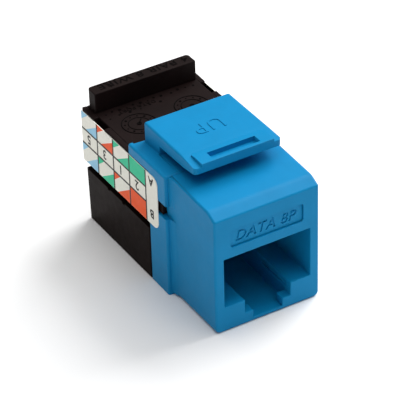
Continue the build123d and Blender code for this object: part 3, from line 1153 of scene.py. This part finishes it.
def rounded(half_width: float, half_height: float, radius: float, steps: int = 6) -> Outline:
    """Draws a rectangle with rounded corners round the origin.

    Args:
        half_width: half its width.
        half_height: half its height.
        radius: the corners' radius.
        steps: points in each corner.

    Returns:
        The outline.
    """
    outline = []
    for corner, (sx, sy) in enumerate(((1, 1), (-1, 1), (-1, -1), (1, -1))):
        for step in range(steps + 1):
            angle = math.radians(90 * (corner + step / steps))
            x = sx * (half_width - radius) + radius * math.cos(angle)
            outline.append((x, sy * (half_height - radius) + radius * math.sin(angle)))
    return outline


# ---------------------------------------------------------------- labels


class Ink(Enum):
    """The label's inks, by conductor colour."""

    BLUE = "ink_blue"
    PALE_BLUE = "ink_pale_blue"
    ORANGE = "ink_orange"
    GREEN = "ink_green"
    BROWN = "ink_brown"


@dataclass(frozen=True)
class Column:
    """One column of the label: its terminal number and the conductor colour for each wiring scheme.

    Attributes:
        number: the terminal's number.
        first: ink for scheme A.
        second: ink for scheme B.
        striped: True for a white conductor with a coloured stripe.
        second_striped: the same for scheme B.
    """

    number: str
    first: Ink
    second: Ink
    striped: bool
    second_striped: bool


@dataclass
class WiringLabel:
    """A sticker with the wiring schemes: white film, coloured cells, grid lines and digits.

    Attributes:
        side: -1 for the left sticker, 1 for the right one.
        columns: its columns from the rear to the front.
        borders: depths of the borders between columns, from the rear.
        rows: heights of the sticker's lower edge, the two row lines and the upper edge.
        front: depth of the sticker's front edge.
        film: how far the film's back and face stand out from the middle, in millimetres.
        cad_face: how far the CAD sticker's face stands out.
        skins: thickness of the row lines' ink and of the other black ink.
        sunk: how far the grid reaches into the film.
        line: width of the grid lines.
        rear_corner: width and height of a striped cell's upper rear corner, as shares of the cell.
        front_corner: the same for its lower front corner.
        numbers: height and added weight of the terminal numbers.
        letters: the same for the schemes' letters.
        shifts: how far the numbers and the letters stand behind their column's middle.
        schemes: each scheme's letter, its row, and how far it stands above the row's middle.
    """

    side: int
    columns: tuple[Column, ...]
    borders: tuple[float, ...] = (30.18, 26.3, 22.3, 18.35, 14.4)
    rows: tuple[float, ...] = (8.57, 11.28, 13.41, 15.84)
    front: float = 11.65
    film: Span = (8.0, 8.085)
    cad_face: float = 8.1
    skins: Span = (0.006, 0.009)
    sunk: float = 0.01
    line: float = 0.26
    rear_corner: Span = (0.42, 0.5)
    front_corner: Span = (0.8, 0.78)
    numbers: Span = (1.3, 0.035)
    letters: Span = (1.15, 0.05)
    shifts: Span = (0.2, 0.1)
    schemes: tuple[tuple[str, int, float], ...] = (("A", 2, 0.2), ("B", 0, 0.25))

    def build(self, bench: Bench) -> None:
        """Makes the film, the inks, the grid and the characters.

        Args:
            bench: where it is modelled.
        """
        name = "left" if self.side < 0 else "right"
        self.base(bench, name)
        for ink in Ink:
            shapes = self.cells(ink)
            if shapes:
                self.print(bench, f"label_{name}_{ink.value}", shapes, ink.value)
        self.grid(bench, name)
        self.characters(bench, name)

    def base(self, bench: Bench, name: str) -> None:
        """Makes the film from the CAD sticker, thinner to leave room for the ink, with its back in a darker
        black as painted shade against the housing.

        Args:
            bench: where it is modelled.
            name: the label's side in its pieces' names.
        """
        node = f"wiring_label_{name}"
        film = bench.cad_copy(node, f"label_{name}_film")
        middle = (self.film[0] + self.cad_face) / 2
        with bench.editing(film, "VERT", every=False) as mesh:
            for vertex in mesh.verts:
                if abs(vertex.co.x) > middle * MM:
                    vertex.select_set(True)
            bmesh.update_edit_mesh(film.data)
            bpy.ops.transform.translate(value=((self.film[1] - self.cad_face) * self.side * MM, 0, 0))
        bench.smooth(film)
        bench.hand_in(film, bench.palette.film, "label", "jack", [node])
        # painted shade: the film's back, which lies on the housing, gets the darker black
        film.data.materials.append(bench.palette.shaded_black)
        for polygon in film.data.polygons:
            polygon.material_index = int(polygon.normal.x * self.side < -0.5)

    def print(self, bench: Bench, name: str, shapes: list[Outline], look: str) -> None:
        """Prints outlines in depth and height on the film.

        Args:
            bench: where it is modelled.
            name: the print's name.
            shapes: outlines as depth and height.
            look: the palette's ink.
        """
        outlines = [[(self.side * depth, z) for depth, z in shape] for shape in shapes]
        facing = Facing.RIGHT if self.side > 0 else Facing.LEFT
        piece = bench.sheet(name, outlines, self.skins[0] / 2, facing, (self.side * self.film[1], 0, 0))
        bench.hand_in(piece, getattr(bench.palette, look), "label", "jack")

    def cells(self, ink: Ink) -> list[Outline]:
        """Draws every cell of one ink: a full cell, or two corners with a white band between them.

        Args:
            ink: the ink.

        Returns:
            The cells' outlines as depth and height.
        """
        shapes = []
        for column, rear, front in zip(self.columns, self.borders, self.borders[1:]):
            for colour, striped, low, high in (
                (column.second, column.second_striped, *self.rows[:2]),
                (column.first, column.striped, *self.rows[2:]),
            ):
                if colour is not ink:
                    continue
                if not striped:
                    shapes.append([(front, low), (rear, low), (rear, high), (front, high)])
                    continue
                wide, tall = rear - front, high - low
                across, down = self.rear_corner
                shapes.append([(rear, high), (rear, high - tall * down), (rear - wide * across, high)])
                across, up = self.front_corner
                shapes.append([(front, low), (front + wide * across, low), (front, low + tall * up)])
        return shapes

    def grid(self, bench: Bench, name: str) -> None:
        """Prints the lines between columns and rows.

        Args:
            bench: where it is modelled.
            name: the label's side in its pieces' names.
        """
        half, face = self.line / 2, self.film[1]
        low, high = self.rows[0], self.rows[3]
        rear, front = self.borders[0], self.borders[-1]
        row_ink, column_ink = self.skins
        spans = [(depth - half, depth + half, low, high, column_ink) for depth in self.borders[1:]]
        spans += [(front, rear, z - half, z + half, row_ink) for z in self.rows[1:3]]
        lines = []
        for near, far, bottom, top, thick in spans:
            inner, outer = sorted((self.side * (face - self.sunk), self.side * (face + thick)))
            lines.append(bench.box("line", (inner, near, bottom), (outer, far, top)))
        grid = bench.joined(f"label_{name}_grid", lines)
        bench.hand_in(grid, bench.palette.ink_black, "label", "jack")

    def characters(self, bench: Bench, name: str) -> None:
        """Prints the terminal numbers and the two schemes' letters, upside down as on the jack.

        Args:
            bench: where it is modelled.
            name: the label's side in its pieces' names.
        """
        facing = Facing.RIGHT_INVERTED if self.side > 0 else Facing.LEFT_INVERTED
        middle = (self.rows[1] + self.rows[2]) / 2
        signs = []
        for column, rear, front in zip(self.columns, self.borders, self.borders[1:]):
            signs.append((column.number, *self.numbers, (rear + front) / 2 + self.shifts[0], middle))
        edge = (self.borders[-1] + self.front) / 2
        for text, row, raised in self.schemes:
            z = (self.rows[row] + self.rows[row + 1]) / 2 + raised
            signs.append((text, *self.letters, edge + self.shifts[1], z))
        for text, height, weight, depth, z in signs:
            origin = (self.side * self.film[1], depth, z)
            letter = Lettering(text, height, weight)
            piece = bench.sheet(f"label_{name}_{text}", [], self.skins[1], facing, origin, letter)
            bench.hand_in(piece, bench.palette.ink_black, "label", "jack")


# ---------------------------------------------------------------- board and metal


@dataclass
class BoardDetails:
    """Solder joints and tracks on the circuit board.

    Attributes:
        top: height of the board's top.
        pitch: distance across between the contacts' legs.
        rows: depths of the two staggered rows of legs.
        columns: depths of the terminals.
        terminal_x: distance of the terminals from the middle plane.
        joints: radius of a leg's and of a terminal's solder joint.
        joint_tip: radius of a joint's top.
        joint_height: height of a joint.
        track_half: half a track's width.
        track_heights: a track's lower and upper face, from the board's top.
        track_step: how much lower the stretch across the board is, so that two tops don't coincide.
        track_gap: distance from a track's outer end to its terminal's middle.
    """

    top: float = 13.42
    pitch: float = 1.02
    rows: Span = (5.0, 6.6)
    columns: tuple[float, ...] = (16.4, 20.0, 23.6, 27.2)
    terminal_x: float = 4.95
    joints: Span = (0.4, 0.72)
    joint_tip: float = 0.24
    joint_height: float = 0.32
    track_half: float = 0.11
    track_heights: Span = (-0.01, 0.03)
    track_step: float = 0.002
    track_gap: float = 0.5

    def legs(self) -> list[tuple[float, float]]:
        """Returns across and depth of the contacts' legs."""
        return [((index - 3.5) * self.pitch, self.rows[index % 2]) for index in range(8)]

    def build(self, bench: Bench) -> None:
        """Makes the joints and the tracks.

        Args:
            bench: where it is modelled.
        """
        at_leg, at_terminal = self.joints
        sites = [(x, depth, at_leg) for x, depth in self.legs()]
        for side in (-1, 1):
            sites += [(side * self.terminal_x, depth, at_terminal) for depth in self.columns]
        joints = []
        for x, depth, radius in sites:
            place = at(x, depth, self.top + self.joint_height / 2)
            bpy.ops.mesh.primitive_cone_add(vertices=20, radius1=radius * MM, radius2=self.joint_tip * MM,
                                            depth=self.joint_height * MM, location=place)
            joints.append(bench.placed("joint"))
        piece = bench.joined("solder_joints", joints)
        bench.smooth(piece, angle=50.0)
        bench.hand_in(piece, bench.palette.solder, None, "jack")
        self.tracks(bench)

    def tracks(self, bench: Bench) -> None:
        """Makes one copper track from each contact's leg straight back, then out to its terminal.

        Args:
            bench: where it is modelled.
        """
        half = self.track_half
        low, high = (self.top + height for height in self.track_heights)
        parts = []
        for index, (x, depth) in enumerate(self.legs()):
            side = -1 if x < 0 else 1
            column = self.columns[index if side < 0 else 7 - index]
            parts.append(bench.box("track", (x - half, depth, low), (x + half, column + half, high)))
            inner, outer = sorted((x, side * (self.terminal_x - self.track_gap)))
            corner = (outer, column + half, high - self.track_step)
            parts.append(bench.box("track", (inner, column - half, low), corner))
        piece = bench.joined("board_tracks", parts)
        bench.hand_in(piece, bench.palette.track, None, "jack")


# ---------------------------------------------------------------- studio


@dataclass
class Studio:
    """Floor, soft lights and the camera.

    Attributes:
        azimuth: the camera's direction round the jack, in degrees from straight in front.
        elevation: its angle above the floor.
        roll: its turn about its own line of sight.
        distance: its distance from the target, in metres.
        lens: its focal length in millimetres.
        sensor: its sensor's width in millimetres.
        target: the point that camera and lights face, in metres.
        aim_right: how far the camera stands to its own right, in metres.
        aim_up: how far it stands up.
        floor_size: the floor's side in metres.
        floor_gap: how far the floor lies under the jack, so that the two don't coincide.
        ambient: strength of the light from all round.
    """

    azimuth: float = -30.15
    elevation: float = 34.81
    roll: float = -1.708
    distance: float = 0.29998
    lens: float = 222.589
    sensor: float = 36.0
    target: Point = (0.0, -0.0031, 0.009)
    aim_right: float = -0.001767
    aim_up: float = 0.000653
    floor_size: float = 6.0
    floor_gap: float = 0.02 * MM
    ambient: float = 0.19

    def axes(self) -> tuple[Vector, Vector, Vector]:
        """Returns the camera's right, up and back directions."""
        azimuth, elevation = math.radians(self.azimuth), math.radians(self.elevation)
        roll = math.radians(self.roll)
        flat = math.cos(elevation)
        back = Vector((math.sin(azimuth) * flat, -math.cos(azimuth) * flat, math.sin(elevation)))
        level = (-back).cross(Vector((0, 0, 1))).normalized()
        upright = level.cross(-back)
        right = math.cos(roll) * level + math.sin(roll) * upright
        up = -math.sin(roll) * level + math.cos(roll) * upright
        return right, up, back

    def camera(self) -> None:
        """Makes the camera and makes it the scene's."""
        right, up, back = self.axes()
        place = Vector(self.target) + back * self.distance + right * self.aim_right + up * self.aim_up
        data = bpy.data.cameras.new("camera")
        data.lens, data.sensor_width = self.lens, self.sensor
        data.clip_start, data.clip_end = 0.01, 10.0
        camera = bpy.data.objects.new("camera", data)
        turn = Matrix((right, up, back)).transposed().to_4x4()
        camera.matrix_world = Matrix.Translation(place) @ turn
        bpy.context.scene.collection.objects.link(camera)
        bpy.context.scene.camera = camera

    def floor(self) -> None:
        """Makes the pale floor."""
        bpy.ops.mesh.primitive_plane_add(size=self.floor_size, location=(0, 0, -self.floor_gap))
        floor = bpy.context.object
        floor.name = "floor"
        nodes = Nodes("pale_floor")
        nodes.set(Base_Color=(0.93, 0.93, 0.93, 1), Roughness=0.9, Specular_IOR_Level=0.1)
        floor.data.materials.append(nodes.material)

    def light(self, name: str, place: Point, size: float, power: float) -> None:
        """Makes one square soft light that points at the jack.

        Args:
            name: the light's name.
            place: where it stands, in metres.
            size: its side in metres.
            power: its power in watts.
        """
        data = bpy.data.lights.new(name, "AREA")
        data.size, data.energy = size, power
        lamp = bpy.data.objects.new(name, data)
        direction = Vector(self.target) - Vector(place)
        lamp.location = place
        lamp.rotation_euler = direction.to_track_quat("-Z", "Y").to_euler()
        bpy.context.scene.collection.objects.link(lamp)

    def build(self) -> None:
        """Makes the whole studio."""
        self.floor()
        self.light("key_light", (1.1, 0.3, 0.95), 1.1, 25.0)
        self.light("top_light", (0.1, -0.05, 1.5), 2.0, 20.5)
        world = bpy.data.worlds.new("studio_world")
        world.use_nodes = True
        background = world.node_tree.nodes["Background"]
        background.inputs["Color"].default_value = (1.0, 1.0, 1.0, 1.0)
        background.inputs["Strength"].default_value = self.ambient
        bpy.context.scene.world = world
        bpy.context.scene.view_settings.view_transform = "Standard"
        self.camera()
        LOG.info("studio: floor, two lights and the camera")


# ---------------------------------------------------------------- main


FIRST_LABEL = (
    Column("5", Ink.PALE_BLUE, Ink.PALE_BLUE, True, True),
    Column("3", Ink.ORANGE, Ink.GREEN, True, True),
    Column("1", Ink.GREEN, Ink.ORANGE, True, True),
    Column("2", Ink.GREEN, Ink.ORANGE, False, False),
)
SECOND_LABEL = (
    Column("4", Ink.BLUE, Ink.BLUE, False, False),
    Column("6", Ink.ORANGE, Ink.GREEN, False, False),
    Column("7", Ink.BROWN, Ink.BROWN, True, True),
    Column("8", Ink.BROWN, Ink.BROWN, False, False),
)


def paint_cad_nodes(bench: Bench) -> None:
    """Gives the CAD nodes that stay in view their finishes.

    Args:
        bench: the bench with the frame and the palette.
    """
    looks = {
        "contact_wire": bench.palette.gold,
        "idc_terminal": bench.palette.tin,
        "circuit_board": bench.palette.board,
    }
    for name, node in bench.frame["nodes"].items():
        for start, look in looks.items():
            if name.startswith(start):
                for slot in node.material_slots:
                    slot.material = look


def main() -> None:
    """Builds the jack's pieces in order and reports each."""
    logging.basicConfig(level=logging.INFO, format="%(message)s")
    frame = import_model()
    bench = Bench(frame, Palette.mixed())
    paint_cad_nodes(bench)
    pieces = (
        FrontHousing(),
        KeystoneLatch(),
        MarkingPanel(),
        Shell("idc_block", "black", "black_body"),
        RearCover(),
        Shell("termination_cap", "cap", "black_cap", "cap", width=0.08),
        Shell("terminal_row_left", "carrier", "black_carrier"),
        Shell("terminal_row_right", "carrier", "black_carrier"),
        Shell("contact_carrier", "carrier", "black_carrier", width=0.06),
        BoardDetails(),
        WiringLabel(-1, FIRST_LABEL),
        WiringLabel(1, SECOND_LABEL),
    )
    for piece in pieces:
        piece.build(bench)
    Studio().build()


if __name__ == "__main__":
    main()
